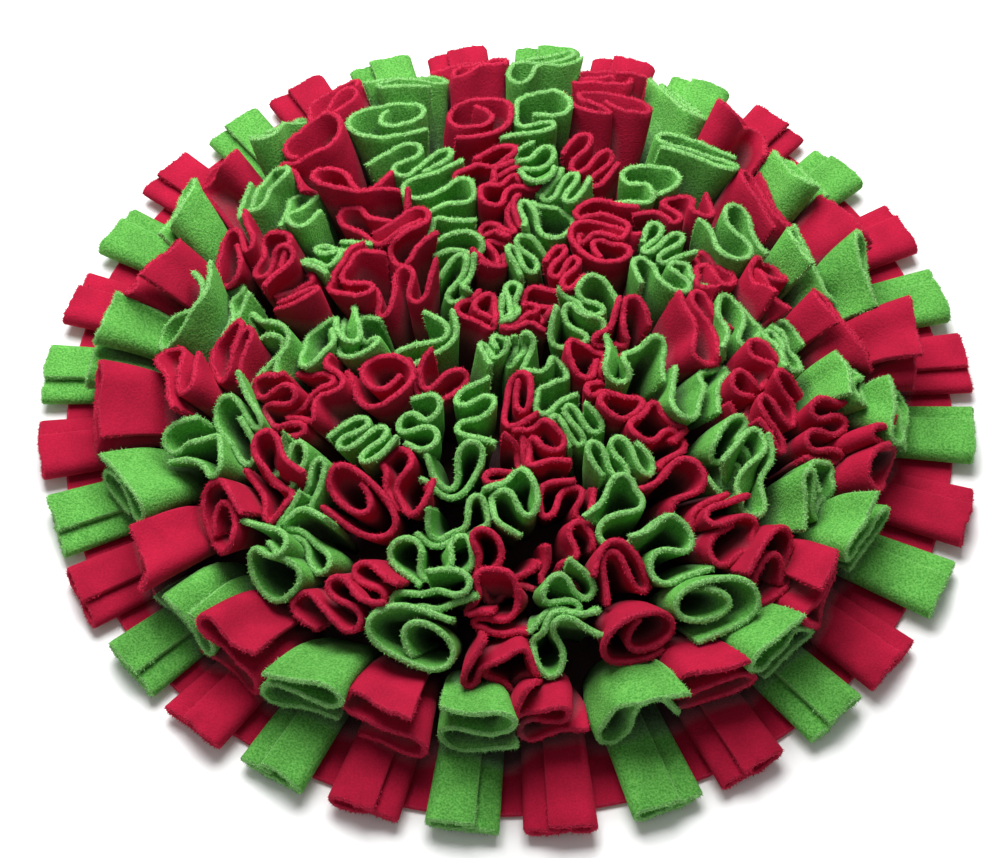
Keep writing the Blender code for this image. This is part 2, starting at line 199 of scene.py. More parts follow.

# --- how the cloth settles ---
ROUNDS = 90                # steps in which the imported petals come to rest
SEARCH_ROUNDS = 6          # steps between two searches for cloth that meets
SEARCH_MARGIN = 1.5        # mm that the cloth may move between them
OWN_CONTACT = 7.0          # mm along the cloth past which a petal may touch itself
PACKING_GAP = 0.4          # mm of nap between two pressed sheets
PUSH = 1.5                 # makes up for averaging the pushes on a point
TIGHTEST_BEND = 2.3        # mm, radius to the middle of the cloth
BEND_SPANS = (2, 4)        # points over which a bend is measured
STIFFNESS = ((1, 0.6), (2, 0.25))   # points in each half of a bend, share taken out
HELD_ROOT = 0.06           # share of a petal's height that its seam holds
FREEING = 2.5              # how quickly the cloth gets free above it
OPENING = 1.7              # and how quickly it gets its full width
SPREADING = 0.7            # share of the steps in which the cloth reaches its full width
HELD = 0.6                 # share of a stretch that is taken back in a step
STIFF_UP = 0.10            # share of a bend from root to free end taken out in a step
HOMING = 0.02              # share of its way back that a petal goes in a step
LONGEST_MOVE = 0.9         # mm in a step
NEIGHBOURS = [(x, y, z) for x in (0, 1) for y in (-1, 0, 1) for z in (-1, 0, 1)
              if (x, y, z) >= (0, 0, 0)]

# --- the stage: metres ---
FLOOR_HALF = 4.0
FLOOR_HEIGHT = -0.0003
LIGHTS = {"key": ((-0.1, 0.5, 0.95), 0.8), "fill": ((-0.7, -0.9, 1.5), 1.4)}   # place, side
CAMERA_AIM = (-0.0040, -0.0096)
CAMERA_DISTANCE = 1.275
CAMERA_ELEVATION = math.radians(56.86)
SENSOR_WIDTH = 36.0        # mm
FAR_CLIP = 20.0


# --- settings a user would change ---
class FleeceSettings(bpy.types.PropertyGroup):
    """The cloth and its colours."""
    thickness: bpy.props.FloatProperty(
        name="Thickness", description="Thickness of the fleece", default=3.0 * MM,
        min=1.5 * MM, max=4 * MM, unit="LENGTH", precision=4)
    red: bpy.props.StringProperty(
        name="Red", description="Crimson fleece in light, sRGB hex", default="B31739")
    red_deep: bpy.props.StringProperty(
        name="Deep Red", description="Crimson fleece between its fibres, sRGB hex",
        default="90102C")
    # Paler colour of the painted highlight on cut edges
    red_edge: bpy.props.StringProperty(
        name="Red Edge", description="Cut edge of the crimson fleece, sRGB hex", default="C63756")
    green: bpy.props.StringProperty(
        name="Green", description="Leaf green fleece in light, sRGB hex", default="72BA57")
    green_deep: bpy.props.StringProperty(
        name="Deep Green", description="Green fleece between its fibres, sRGB hex",
        default="357F2B")
    # Paler colour of the painted highlight on cut edges
    green_edge: bpy.props.StringProperty(
        name="Green Edge", description="Cut edge of the green fleece, sRGB hex", default="B6E0A0")


class PetalSettings(bpy.types.PropertyGroup):
    """How unevenly the petals stand."""
    waviness: bpy.props.FloatProperty(
        name="Waviness", description="How far a fold wanders from its plan at the free end",
        default=0.9 * MM, min=0, max=5 * MM, unit="LENGTH", precision=4)
    sway: bpy.props.FloatProperty(
        name="Sway", description="How far a free end stands off its place",
        default=2.6 * MM, min=0, max=6 * MM, unit="LENGTH", precision=4)
    twist: bpy.props.FloatProperty(
        name="Twist", description="How far a free end turns about its root",
        default=math.radians(10), min=0, max=math.radians(30), subtype="ANGLE")
    rim_wander: bpy.props.FloatProperty(
        name="Rim Wander", description="How unevenly the free ends are cut",
        default=1.0 * MM, min=0, max=3 * MM, unit="LENGTH", precision=4)


class NapSettings(bpy.types.PropertyGroup):
    """The fuzz that stands on the cut edges."""
    tufts: bpy.props.IntProperty(
        name="Tufts", description="Tufts of fuzz in each colour", default=46000, min=0, max=49000)
    tuft_length: bpy.props.FloatProperty(
        name="Tuft Length", description="How far a tuft stands off the cloth", default=1.15 * MM,
        min=0, max=2 * MM, unit="LENGTH", precision=5)
    tuft_width: bpy.props.FloatProperty(
        name="Tuft Width", description="Width of a tuft at its root", default=0.42 * MM,
        min=0.05 * MM, max=1 * MM, unit="LENGTH", precision=5)


class StageSettings(bpy.types.PropertyGroup):
    """Floor, light and camera."""
    floor: bpy.props.StringProperty(
        name="Floor", description="Colour of the floor, sRGB hex", default="FFFFFF")
    key_power: bpy.props.FloatProperty(
        name="Key Light", description="Power of the large soft light behind and above",
        default=22.0, min=0, unit="POWER")
    fill_power: bpy.props.FloatProperty(
        name="Fill Light", description="Power of the soft light from the front",
        default=1.2, min=0, unit="POWER")
    sky: bpy.props.FloatProperty(
        name="Sky", description="Strength of the light from all round", default=0.24, min=0)
    lens: bpy.props.FloatProperty(
        name="Lens", description="Focal length on a 36 mm sensor", default=96.0,
        unit="CAMERA")


# --- meshes ---
def unit(vectors):
    """The vectors at length 1."""
    return vectors / np.maximum(np.linalg.norm(vectors, axis=-1, keepdims=True), 1e-9)


def cloth_sheet(grid, thickness):
    """A closed sheet of cloth round a grid of middle points, its cut edges round and ragged.

    The grid runs along the fold, then from the root to the free end.  Gives points
    and faces, and for each point a mark, which is 0 on the cloth and highest on the
    crest of the free end, where the fleece paints its highlight brightest, and its
    depth below the free end.
    """
    columns, rows = grid.shape[:2]
    along = unit(np.gradient(grid, axis=0))
    up = unit(np.gradient(grid, axis=1))
    normal = unit(np.cross(along, up))
    half = thickness / 2
    chance = np.random.default_rng(SEED + int(abs(grid[0, 0]).sum()))
    ragged = chance.uniform(-RAGGED, RAGGED, columns)
    bulging = 1 + chance.uniform(-BULGING, BULGING, columns)
    sides = [(-out, thin) for out, thin in CUT[1:]] + [(0.0, 1.0)] * columns + [*CUT[:0:-1]]
    picks = [0] * (len(CUT) - 1) + list(range(columns)) + [columns - 1] * (len(CUT) - 1)
    profile = [*CUT[::-1]] + [(out, -side) for out, side in CUT[1:]]
    steps = np.linalg.norm(np.diff(grid, axis=1), axis=-1).mean(axis=0)
    below = np.concatenate((np.cumsum(steps[::-1])[::-1], [0.0]))
    depths = np.concatenate((below, np.zeros(len(profile)), below[::-1]))
    rings, marks = [], []
    for (push, thin), pick in zip(sides, picks):
        middle = grid[pick] + along[pick] * push * half
        wall = normal[pick] * half * thin
        rim = [middle[-1] + wall[-1] * side * bulging[pick]
               + up[pick, -1] * (half * out + ragged[pick]) for out, side in profile]
        rings.append(np.vstack((middle + wall, rim, (middle - wall)[::-1])))
        mark = np.full(len(rings[-1]), CUT_BORDER if push else 0.0)
        mark[rows:rows + len(profile)] = [CUT_BORDER + (1 - CUT_BORDER) * out / CUT[0][0]
                                          for out, _ in profile]
        marks.append(mark)
    rings = np.array(rings)
    count, size = rings.shape[:2]
    index = np.arange(count * size).reshape(count, size)
    following = np.roll(index, -1, axis=1)
    walls = np.stack((index[:-1], following[:-1], following[1:], index[1:]), axis=-1)
    faces = [walls.reshape(-1, 4)]
    for ring, backwards in ((index[0], False), (index[-1], True)):
        half_ring = size // 2
        left, right = ring[:half_ring], ring[::-1][:half_ring]
        cap = np.stack((left[:-1], right[:-1], right[1:], left[1:]), axis=-1)
        tip = np.array([[left[-1], right[-1], ring[half_ring], ring[half_ring]]])
        cap = np.vstack((cap, tip))
        faces.append(cap[:, ::-1] if backwards else cap)
    faces = np.vstack(faces)
    points = rings.reshape(-1, 3)
    corners = points[faces]
    inside = sum((corners[:, 0] * np.cross(corners[:, second], corners[:, second + 1])).sum()
                 for second in (1, 2))
    if inside < 0:             # the volume is negative where the faces point inwards
        faces = faces[:, ::-1]
    return points, faces, np.array(marks).reshape(-1), np.tile(depths, count)


NAP_GROUND = {"red": [], "green": []}   # points, faces and tones that fuzz grows on


def note_nap_ground(colour, sheet, tone):
    """Keep the cut edges of a sheet as ground for its fuzz."""
    points, faces, marks, depths = sheet
    cut = (marks[faces].min(axis=1) >= CUT_BORDER) & (depths[faces].max(axis=1) < NAP_DEPTH)
    NAP_GROUND[colour].append((points, faces[cut & (faces[:, 2] != faces[:, 3])],
                               np.full(len(points), tone)))


def marked_mesh(name, points, faces, marks, tones):
    """A mesh from millimetres whose points carry a cut-edge mark for the painted highlight, their
    tone, and the cloth above them for the painted shade.
    """
    data = bpy.data.meshes.new(name)
    data.from_pydata((points * MM).tolist(), [], faces)
    # edge feeds the painted highlight, cover the painted shade, tone the petal's own tone
    for label, values in {"edge": marks, "cover": cloth_above(points), "tone": tones}.items():
        layer = data.attributes.new(label, "FLOAT", "POINT")
        layer.data.foreach_set("value", np.asarray(values, dtype=np.float32))
    return data


def add_object(name, data):
    """An object of a mesh, a light or a camera, at the origin."""
    added = bpy.data.objects.new(name, data)
    bpy.context.scene.collection.objects.link(added)
    return added


def cloth_piece(name, colour, points, faces, marks, tones):
    """A smooth object of one colour of fleece."""
    data = marked_mesh(name, points, faces, marks, tones)
    data.materials.append(brushed_fleece(colour))
    data.shade_smooth()
    return add_object(name, data)


def join_sheets(name, colour, sheets):
    """One object from several sheets, each with its own tone."""
    faces, start = [], 0
    for (points, quads, _, _), _ in sheets:
        faces += [face if face[2] != face[3] and face[0] != face[1]
                  else list(dict.fromkeys(face)) for face in (quads + start).tolist()]
        start += len(points)
    return cloth_piece(name, colour, np.vstack([sheet[0] for sheet, _ in sheets]), faces,
                       np.concatenate([sheet[2] for sheet, _ in sheets]),
                       np.concatenate([np.full(len(sheet[0]), tone) for sheet, tone in sheets]))


# --- the folds ---
def trace_fold(folds):
    """Middle line of the folded cloth as points, its bends as arcs."""
    x = y = heading = 0.0
    points = [(x, y)]
    for fold in folds:
        x += fold.run * math.cos(heading)
        y += fold.run * math.sin(heading)
        points.append((x, y))
        facets = math.ceil(abs(fold.bend) / ARC_STEP)
        if not facets:
            continue
        step = math.radians(fold.bend) / facets
        chord = 2 * fold.radius * math.sin(abs(step) / 2)
        for _ in range(facets):
            heading += step / 2
            x += chord * math.cos(heading)
            y += chord * math.sin(heading)
            heading += step / 2
            points.append((x, y))
    return np.array(points)


def fit_to_cell(points, turn, mirrored):
    """Turn a fold by degrees and scale it to run from -1 to 1 both ways."""
    cos_turn, sin_turn = math.cos(math.radians(turn)), math.sin(math.radians(turn))
    x = points[:, 0] * cos_turn - points[:, 1] * sin_turn
    y = points[:, 0] * sin_turn + points[:, 1] * cos_turn
    turned = np.stack((-x if mirrored else x, y), axis=1)
    low, high = turned.min(axis=0), turned.max(axis=0)
    return 2 * (turned - low) / (high - low) - 1


def even_out(line, half_width, half_depth, count):
    """The same line in even steps of its real size, with softened bends, and its length."""
    scale = np.array((half_width, half_depth))
    real = line * scale
    passed = np.concatenate(([0.0], np.cumsum(np.linalg.norm(np.diff(real, axis=0), axis=1))))
    spots = np.linspace(0, passed[-1], count)
    real = np.stack([np.interp(spots, passed, real[:, axis]) for axis in (0, 1)], axis=1)
    for _ in range(SOFTENING):
        real[1:-1] = (real[:-2] + 2 * real[1:-1] + real[2:]) / 4
    return real / scale, passed[-1]


def wander(chance, share, amount, waves):
    """A smooth chance value along a line of shares from 0 to 1, up to about the amount."""
    total = np.zeros_like(share)
    for wave in range(1, waves + 1):
        phase = chance.uniform(0, 2 * math.pi)
        total = total + np.sin(2 * math.pi * wave * share * chance.uniform(*WAVE_SPREAD) + phase)
    return amount * total / math.sqrt(waves)


# --- standing petals ---
Cell = namedtuple("Cell", "middle half_angle colour fold")
Petal = namedtuple("Petal", "grid colour width")
GROWN = {}                 # the petals, once they are settled, and the cloth above each place


def row_cells(row):
    """The cells of a row, each reaching halfway to its neighbours, in radians."""
    petals = [token.split(":") for token in row.petals.split()]
    petals = sorted((float(angle), colour, fold) for angle, colour, fold in petals)
    angles = [petal[0] for petal in petals]
    befores = [angles[-1] - 360] + angles[:-1]
    afters = angles[1:] + [angles[0] + 360]
    cells = []
    for (angle, colour, fold), before, after in zip(petals, befores, afters):
        low = math.radians(before + angle) / 2
        high = math.radians(angle + after) / 2
        cells.append(Cell((low + high) / 2, (high - low) / 2, colour, fold))
    return cells


def share_behind(angle):
    """How far an angle round the mat is on its way to the back, with soft ends."""
    rise = (math.sin(angle) - LEAN_FALLS_FROM) / (1 - LEAN_FALLS_FROM)
    rise = min(max(rise, 0.0), 1.0)
    return rise ** 2 * (3 - 2 * rise)


def lean_at(row, angle):
    """Outward lean of a row's petal in degrees; those behind stand more upright."""
    return row.lean + (row.behind - row.lean) * share_behind(angle)


def tip_radius(row, angle):
    """Radius of a row's free ends at an angle round the mat."""
    return row.seam + PETAL_LENGTH * math.sin(math.radians(lean_at(row, angle)))


def tip_half_depth(number, angle):
    """Half the room that a row's free ends have between the rows beside it."""
    rows = ROWS[max(number - 1, 0):number + 2]
    room = tip_radius(rows[0], angle) - tip_radius(rows[-1], angle)
    return min(TIP_FILL * room / (len(rows) - 1) / 2, MOST_HALF_DEPTH,
               MIDDLE_SHARE * tip_radius(ROWS[number], angle))


def turn_about_z(points, angle):
    """Points carried round the mat by an angle in radians."""
    turned = points.copy()
    turned[..., 0] = points[..., 0] * math.cos(angle) - points[..., 1] * math.sin(angle)
    turned[..., 1] = points[..., 0] * math.sin(angle) + points[..., 1] * math.cos(angle)
    return turned


def standing_petal(number, row, index, cell, thickness, settings):
    """The middle grid of one standing petal, at its place on the mat."""
    chance = random.Random(SEED + 100 * number + index)
    turn = chance.choice(TURNS.get(cell.fold, ANY_TURN))
    line = fit_to_cell(trace_fold(FOLDS[cell.fold]), turn, chance.random() < 0.5)
    length = 1 - LENGTH_SPREAD * chance.random()
    slant = chance.uniform(-RIM_SLANT, RIM_SLANT)
    tip_depth = tip_half_depth(number, cell.middle)
    half_width = tip_radius(row, cell.middle) * math.sin(cell.half_angle)
    line, drawn = even_out(line, half_width, tip_depth, COLUMNS)
    width = min(max(drawn * SPARE_WIDTH, LEAST_WIDTH), MOST_WIDTH,
                CLOTH_IN_CELL * 4 * half_width * tip_depth)
    across, deep = line.T
    place = np.linspace(0, 1, len(line))

    look = random.Random(SEED + 7000 + 100 * number + index)
    curl = (row.curl + (CURL_BEHIND - row.curl) * share_behind(cell.middle)
            + look.uniform(-CURL_SPREAD, CURL_SPREAD))
    curl = math.radians(curl if abs(curl) > LEAST_CURL else LEAST_CURL)
    lean = math.radians(lean_at(row, cell.middle) + look.uniform(-LEAN_SPREAD, LEAN_SPREAD))
    sway = [look.uniform(-1, 1) * settings.sway / MM for _ in range(2)]
    sway[0] += look.uniform(-1, 1) * SWING * math.sin(lean) ** 2
    twist = look.uniform(-1, 1) * settings.twist
    reach_up = PETAL_LENGTH * length * (1 + slant * across)
    reach_up = reach_up + wander(look, place, settings.rim_wander / MM, WAVES)
    bulge = [wander(look, place, settings.waviness / MM, WAVES) for _ in range(2)]

    grid = np.empty((len(line), HEIGHT_STEPS + 1, 3))
    first = lean - curl / 2
    nod = math.radians(look.uniform(-NOD_SPREAD, NOD_SPREAD))
    for step in range(HEIGHT_STEPS + 1):
        share = step / HEIGHT_STEPS
        angle = first + curl * share
        radius = row.seam + reach_up / curl * (math.cos(first) - math.cos(angle))
        height = (BASE_THICKNESS + LAYING_GAP + ROOT_LIFT
                  + reach_up / curl * (math.sin(angle) - math.sin(first)))
        tilt = angle * share * (2 - share) + nod * share
        half_depth = ROOT_HALF_DEPTH + (tip_depth - thickness / 2 - ROOT_HALF_DEPTH) * share
        root_shift = COLOUR_SHIFT if cell.colour == "G" else -COLOUR_SHIFT
        depth = deep * half_depth + root_shift * (1 - share)
        width_share = ROOT_WIDTH_SHARE + (1 - ROOT_WIDTH_SHARE) * share
        reach = ((radius + depth * math.cos(tilt)) * math.sin(cell.half_angle)
                 - thickness / 2 - CELL_GAP)
        side = across * reach * width_share
        side = side + bulge[0] * share + sway[0] * share ** 2
        depth = depth + bulge[1] * share + sway[1] * share ** 2
        turned = twist * share
        side, depth = (side * math.cos(turned) - depth * math.sin(turned),
                       side * math.sin(turned) + depth * math.cos(turned))
        radius = radius + depth * math.cos(tilt)
        if cell.half_angle > WIDE_CELL:
            radius = np.sqrt(np.maximum(radius ** 2 - side ** 2, NEAR_MIDDLE ** 2))
        grid[:, step, 0] = radius
        grid[:, step, 1] = side
        grid[:, step, 2] = height - depth * math.sin(tilt)
    grid = turn_about_z(grid, cell.middle)
    share = np.linspace(0, 1, HEIGHT_STEPS + 1)[None, :] ** DRIFT_RISE
    for axis in (0, 1):
        grid[..., axis] += share * drift(grid, axis)
    return Petal(grid, cell.colour, width)


def drift(points, axis):
    """How far the free ends about a point lie to one side, along X or Y."""
    x, y = points[..., 0] / DRIFT_LENGTH, points[..., 1] / DRIFT_LENGTH
    chance = random.Random(SEED + 900 + axis)
    total = 0.0
    for _ in range(WAVES):
        heading, phase = chance.uniform(0, 2 * math.pi), chance.uniform(0, 2 * math.pi)
        passed = x * math.cos(heading) + y * math.sin(heading)
        total = total + np.sin(2 * math.pi * passed + phase)
    return DRIFT * total / math.sqrt(WAVES)


def close_pairs(points, owners, places, reach):
    """Pairs of points within reach of each other, of two petals or far along one's cloth."""
    cells = np.floor(points / reach).astype(np.int64)
    cells -= cells.min(axis=0) - 1
    across, up = cells[:, 1].max() + 2, cells[:, 2].max() + 2
    keys = (cells[:, 0] * across + cells[:, 1]) * up + cells[:, 2]
    order = np.argsort(keys, kind="stable")
    ranked = keys[order]
    firsts, seconds = [], []
    for x, y, z in NEIGHBOURS:
        wanted = keys + (x * across + y) * up + z
        start = np.searchsorted(ranked, wanted, "left")
        count = np.searchsorted(ranked, wanted, "right") - start
        first = np.repeat(np.arange(len(points)), count)
        passed = np.repeat(np.cumsum(count) - count, count)
        second = order[np.arange(len(first)) - passed + np.repeat(start, count)]
        keep = owners[first] != owners[second]
        keep |= np.abs(places[first] - places[second]) > OWN_CONTACT
        if (x, y, z) == (0, 0, 0):
            keep &= first < second
        first, second = first[keep], second[keep]
        near = np.einsum("ij,ij->i", *[points[first] - points[second]] * 2) < reach ** 2
        firsts.append(first[near])
        seconds.append(second[near])
    return np.concatenate(firsts), np.concatenate(seconds)


def hold_length(near, far, rest, near_free, far_free):
    """Bring two views of points to their rest length apart, each as far as it is free."""
    line = far - near
    size = np.linalg.norm(line, axis=-1)
    change = line * (1 - rest / np.maximum(size, 1e-6))[..., None] * HELD / 2
    near += change * near_free
    far -= change * far_free


def round_bends(grids, span, rest, free):
    """Open the bends whose points a span apart are nearer than their rest length."""
    line = grids[:, span:] - grids[:, :-span]
    size = np.linalg.norm(line, axis=-1)
    push = line * (np.maximum(0, rest - size) / np.maximum(size, 1e-6) / 4)[..., None] * free
    grids[:, span:] += push
    grids[:, :-span] -= push


def straighten(grids, span, stiffness, free):
    """Take out a share of each bend that is measured over twice a span of points."""
    bend = grids[:, :-2 * span] - 2 * grids[:, span:-span] + grids[:, 2 * span:]
    pull = bend * stiffness / 16 * free
    grids[:, :-2 * span] -= pull
    grids[:, span:-span] += 2 * pull
    grids[:, 2 * span:] -= pull


def press_apart(points, owners, pairs, reach):
    """How far each point is pushed by cloth nearer than its reach, as an average."""
    first, second = pairs
    apart = points[first] - points[second]
    distance = np.linalg.norm(apart, axis=1)
    met = distance < reach
    first, second, apart, distance = first[met], second[met], apart[met], distance[met]
    middles = np.stack([np.bincount(owners, points[:, axis]) for axis in range(3)], axis=1)
    middles /= np.bincount(owners)[:, None]
    between = unit(middles[owners[first]] - middles[owners[second]])
    between *= (owners[first] != owners[second])[:, None] * (1 - distance / reach)[:, None]
    push = unit(unit(apart) + between) * ((reach - distance) / 2)[:, None]
    size = len(points)
    count = np.bincount(first, minlength=size) + np.bincount(second, minlength=size)
    moves = np.stack([np.bincount(first, push[:, axis], size)
                      - np.bincount(second, push[:, axis], size) for axis in range(3)], axis=1)
    return moves / np.maximum(count, 1)[:, None]


def settle(petals, still, thickness):
    """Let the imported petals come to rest.

    Each keeps its cloth's width and length, bends softly, and is held off the
    others and itself.  Roots stay on their seams and the still petals where they are.
    """
    grids = np.array([petal.grid for petal in petals])
    homes = grids[:, :, -1].mean(axis=1)
    share = np.linspace(0, 1, HEIGHT_STEPS + 1)
    free = np.clip((share - HELD_ROOT) * FREEING, 0, 1)[:, None]
    steps = np.linalg.norm(np.diff(grids, axis=1), axis=-1)
    swell = np.array([petal.width for petal in petals]) / steps[:, :, -1].sum(axis=1) - 1
    gathered = steps.mean(axis=1, keepdims=True)
    swell = swell[:, None, None] * np.minimum(1, OPENING * share)
    up = np.linalg.norm(np.diff(grids, axis=2), axis=-1)
    moving = grids[..., 0].size
    rim = np.concatenate([petal.grid.reshape(-1, 3) for petal in still])
    owners = np.concatenate((
        np.repeat(np.arange(len(petals)), moving // len(petals)),
        np.repeat(np.arange(len(still)) + len(petals), len(rim) // len(still))))
    place = np.repeat(np.arange(COLUMNS), HEIGHT_STEPS + 1)[None] * gathered[:, :, -1]
    places = np.concatenate((place.reshape(-1), np.zeros(len(rim))))
    reach = thickness + PACKING_GAP
    lowest = BASE_THICKNESS + LAYING_GAP + thickness / 2
    for step in range(ROUNDS):
        points = np.concatenate((grids.reshape(-1, 3), rim))
        if step % SEARCH_ROUNDS == 0:
            pairs = close_pairs(points, owners, places, reach + SEARCH_MARGIN)
        before = grids.copy()
        moves = press_apart(points, owners, pairs, reach)[:moving].reshape(grids.shape)
        grids += PUSH * moves * free
        for span, stiffness in STIFFNESS:
            straighten(grids, span, stiffness, free)
        straight = (grids[:, :, :-2] + grids[:, :, 2:]) / 2 - grids[:, :, 1:-1]
        grids[:, :, 1:-1] += STIFF_UP * free[1:-1] * straight
        grids[:, :, -1] += STIFF_UP * (2 * grids[:, :, -2] - grids[:, :, -3] - grids[:, :, -1])
        along = gathered * (1 + swell * min(1, (step + 1) / (SPREADING * ROUNDS)))
        for odd in (0, 1):
            hold_length(grids[:, odd:-1:2], grids[:, odd + 1::2], along, free, free)
            hold_length(grids[:, :, odd:-1:2], grids[:, :, odd + 1::2], up[:, :, odd::2],
                        free[odd:-1:2], free[odd + 1::2])
        for span in BEND_SPANS:
            turned = np.minimum(span * along / TIGHTEST_BEND, math.pi)
            round_bends(grids, span, 2 * TIGHTEST_BEND * np.sin(turned / 2), free)
        grids += HOMING * (homes - grids[:, :, -1].mean(axis=1))[:, None, None] * free
        grids[..., 2] = np.maximum(grids[..., 2], lowest)
        move = grids - before
        far = np.linalg.norm(move, axis=-1, keepdims=True)
        grids = before + move * np.minimum(1, LONGEST_MOVE / np.maximum(far, 1e-6))
    for petal, grid in zip(petals, grids):
        petal.grid[...] = grid


def weigh_cloth(petals):
    """A block of cells over the mat that tells how much cloth lies above each of them, for the
    painted shade.

    Each cell has the mm2 of cloth above a mm2 of it, as an average over its surroundings.
    """
    spots, areas = [], []
    for petal in petals:
        grid = petal.grid
        across = np.linalg.norm(np.diff(grid, axis=0), axis=-1)
        upward = np.linalg.norm(np.diff(grid, axis=1), axis=-1)
        areas.append((across[:, :-1] * upward[:-1]).reshape(-1))
        spots.append(((grid[:-1, :-1] + grid[1:, 1:]) / 2).reshape(-1, 3))
    half = BASE_DIAMETER / 2 + COVER_MARGIN
    sides = [np.arange(-half, half + COVER_CELL, COVER_CELL)] * 2
    sides.append(np.arange(0, PETAL_LENGTH + COVER_MARGIN, COVER_CELL))
    block, _ = np.histogramdd(np.concatenate(spots), sides, weights=np.concatenate(areas))
    for _ in range(COVER_SPREAD):
        for axis in (0, 1):
            block = (np.roll(block, 1, axis) + block + np.roll(block, -1, axis)) / 3
    above = np.cumsum(block[:, :, ::-1], axis=2)[:, :, ::-1] - block / 2
    return above / COVER_CELL ** 2


def cloth_above(points):
    """The mm2 of cloth above a mm2 at each point, from the block of cells."""
    block = GROWN["cover"]
    half = BASE_DIAMETER / 2 + COVER_MARGIN
    spots = (points + (half, half, 0)) / COVER_CELL - 0.5
    spots = np.clip(spots, 0, np.array(block.shape) - 1.001)
    low = spots.astype(int)
    share = spots - low
    total = 0.0
    for corner in np.ndindex(2, 2, 2):
        weight = np.prod(np.where(corner, share, 1 - share), axis=1)
        total = total + weight * block[tuple((low + corner).T)]
    return total


def rim_petal(index, thickness):
    """The middle grid of one flat petal at the rim."""
    chance = random.Random(SEED * 1000 + index)
    colour = "G" if index % 2 == 0 else "R"
    angle = math.radians(EDGE_FIRST_ANGLE + 360.0 * index / EDGE_COUNT)
    yaw = math.radians(chance.uniform(-EDGE_YAW, EDGE_YAW))
    mirrored = chance.random() < EDGE_MIRRORED
    reach = EDGE_TIP_RADIUS + chance.uniform(-EDGE_UNEVEN, 0)
    line = fit_to_cell(trace_fold(FOLDS["pleat"]), 180, mirrored)
    line, width = even_out(line, EDGE_TIP_WIDTH / 2, EDGE_HEIGHT / 2, RIM_COLUMNS)
    place = np.linspace(0, 1, len(line))
    half_height = (EDGE_HEIGHT - thickness) / 2
    lowest = BASE_THICKNESS + LAYING_GAP
    look = random.Random(SEED * 2000 + index)
    cut = wander(look, place, EDGE_CUT, WAVES)
    wave = wander(look, place, EDGE_WAVE, WAVES - 1)
    grid = np.empty((len(line), RIM_HEIGHT_STEPS + 1, 3))
    for step in range(RIM_HEIGHT_STEPS + 1):
        share = step / RIM_HEIGHT_STEPS
        half_width = (EDGE_ROOT_WIDTH + (EDGE_TIP_WIDTH - EDGE_ROOT_WIDTH) * share - thickness) / 2
        across = line[:, 0] * half_width + wave * share
        along = (reach - EDGE_ROOT_RADIUS + cut) * share
        grid[:, step, 0] = EDGE_ROOT_RADIUS + along * math.cos(yaw) - across * math.sin(yaw)
        grid[:, step, 1] = along * math.sin(yaw) + across * math.cos(yaw)
        grid[:, step, 2] = lowest + EDGE_HEIGHT / 2 + line[:, 1] * half_height
    return Petal(turn_about_z(grid, angle), colour, width)


# --- materials ---
def linear(code):
    """An sRGB hex code as a linear colour with alpha."""
    values = [int(code[place:place + 2], 16) / 255 for place in (0, 2, 4)]
    values = [value / 12.92 if value <= 0.04045 else ((value + 0.055) / 1.055) ** 2.4
              for value in values]
    return (*values, 1.0)


def add_node(tree, kind, inputs=None, **settings):
    """A node with its settings; an input takes a value or another node's output."""
    node = tree.nodes.new(kind)
    for name, value in settings.items():
        setattr(node, name, value)
    for name, value in (inputs or {}).items():
        if isinstance(value, bpy.types.NodeSocket):
            tree.links.new(value, node.inputs[name])
        else:
            node.inputs[name].default_value = value
    return node


def new_material(name):
    """A material and its empty node tree."""
    material = bpy.data.materials.new(name)
    material.use_nodes = True
    material.node_tree.nodes.clear()
    return material, material.node_tree


# Size in mm, detail and roughness of the fleece's three patterns.  The real fibres
# are finer; these are as coarse as they need to be to show.
FLEECE_NOISES = {"tufts": (1.0, 2.0, 0.6), "patches": (14.0, 1.0, 0.5), "fibres": (0.55, 1.0, 0.5)}
# What each range reads, the part of it that counts, and what its two ends become.
FLEECE_RANGES = {
    "worn": ("patches", 0.35, 0.65, 0.9, 1.08),
    # painted shade: darker where much cloth lies above
    "painted_shade": ("cover", 0.8, 3.0, 1.0, 0.22),
    # painted shade: greyer where much cloth lies above
    "painted_shade_grey": ("cover", 0.8, 3.0, 1.0, 0.5),
    # painted highlight: paler on cut edges, most along their crest
    "pale": ("edge", 0.25, 1.0, 0.0, 0.5),
    "strands": ("fibres", 0.38, 0.6, 0.15, 1.0),
}
# dyed is the fleece's own patches and tone; shade adds the painted shade to it; fuzz is the
# painted highlight on cut edges, broken up by fibres
FLEECE_PRODUCTS = {"dyed": ("worn", "tone"), "shade": ("dyed", "painted_shade"),
                   "fuzz": ("pale", "strands")}
FLEECE_GRAIN = {"red": (0.5, 0.6), "green": (0.7, 1.0)}   # contrast and relief of the tufts


